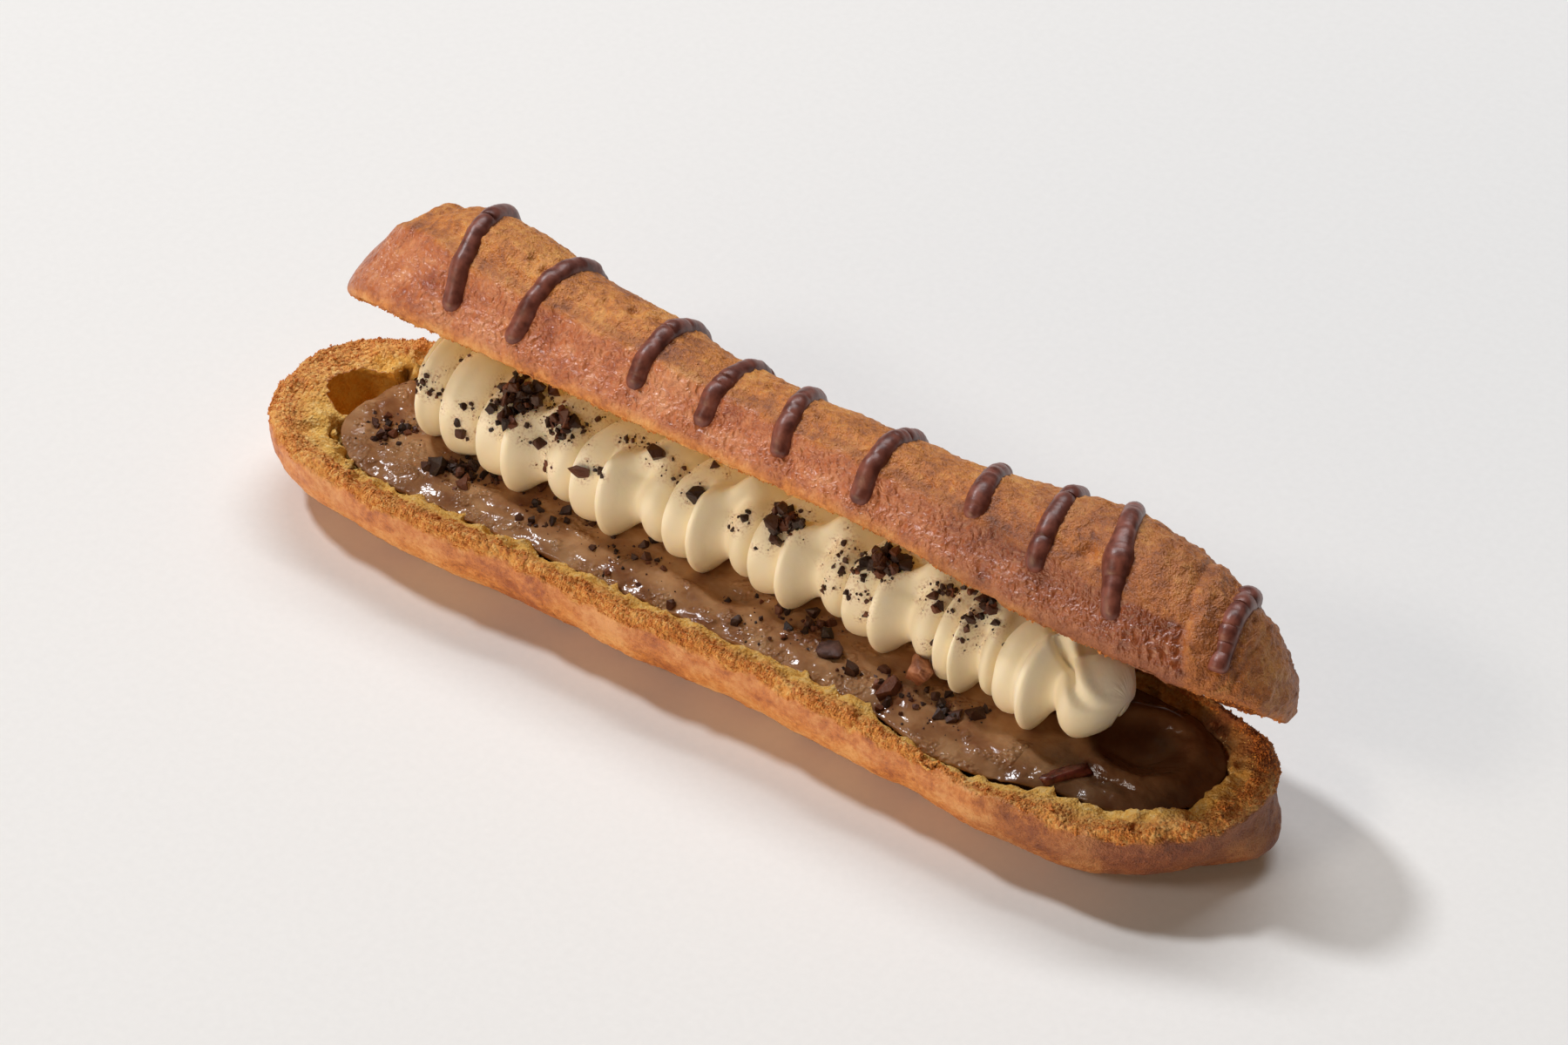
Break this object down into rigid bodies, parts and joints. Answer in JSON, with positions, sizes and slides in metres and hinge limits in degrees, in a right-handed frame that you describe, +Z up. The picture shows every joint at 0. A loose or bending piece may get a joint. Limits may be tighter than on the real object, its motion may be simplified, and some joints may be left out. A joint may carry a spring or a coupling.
{
  "type": "eclair",
  "caption": "Filled chocolate eclair: a cut choux shell with chocolate custard, a piped rope of whipped cream with dark crumbs, and a striped lid leaning open.",
  "frame": {"origin": "on the table, under the middle of the base's flat foot", "axes": "+X along the pastry, towards the end where the custard shows its swirl; +Z up; the open side faces -Y and the lid leans back towards +Y"},
  "size_m": [0.1517, 0.0378, 0.0432],
  "materials": {
    "choux_crust": "baked golden brown, satin on the crust",
    "choux_crumb": "pale, porous and matte",
    "chocolate_custard": "moist and glossy, with fine bubbles",
    "whipped_cream": "soft satin",
    "dark_chocolate": "satin dark chocolate"
  },
  "bodies": {
    "root": {"pastry_base": "choux_crust", "custard": "chocolate_custard", "cream": "whipped_cream", "pastry_lid": "choux_crust"}
  },
  "joints": []
}
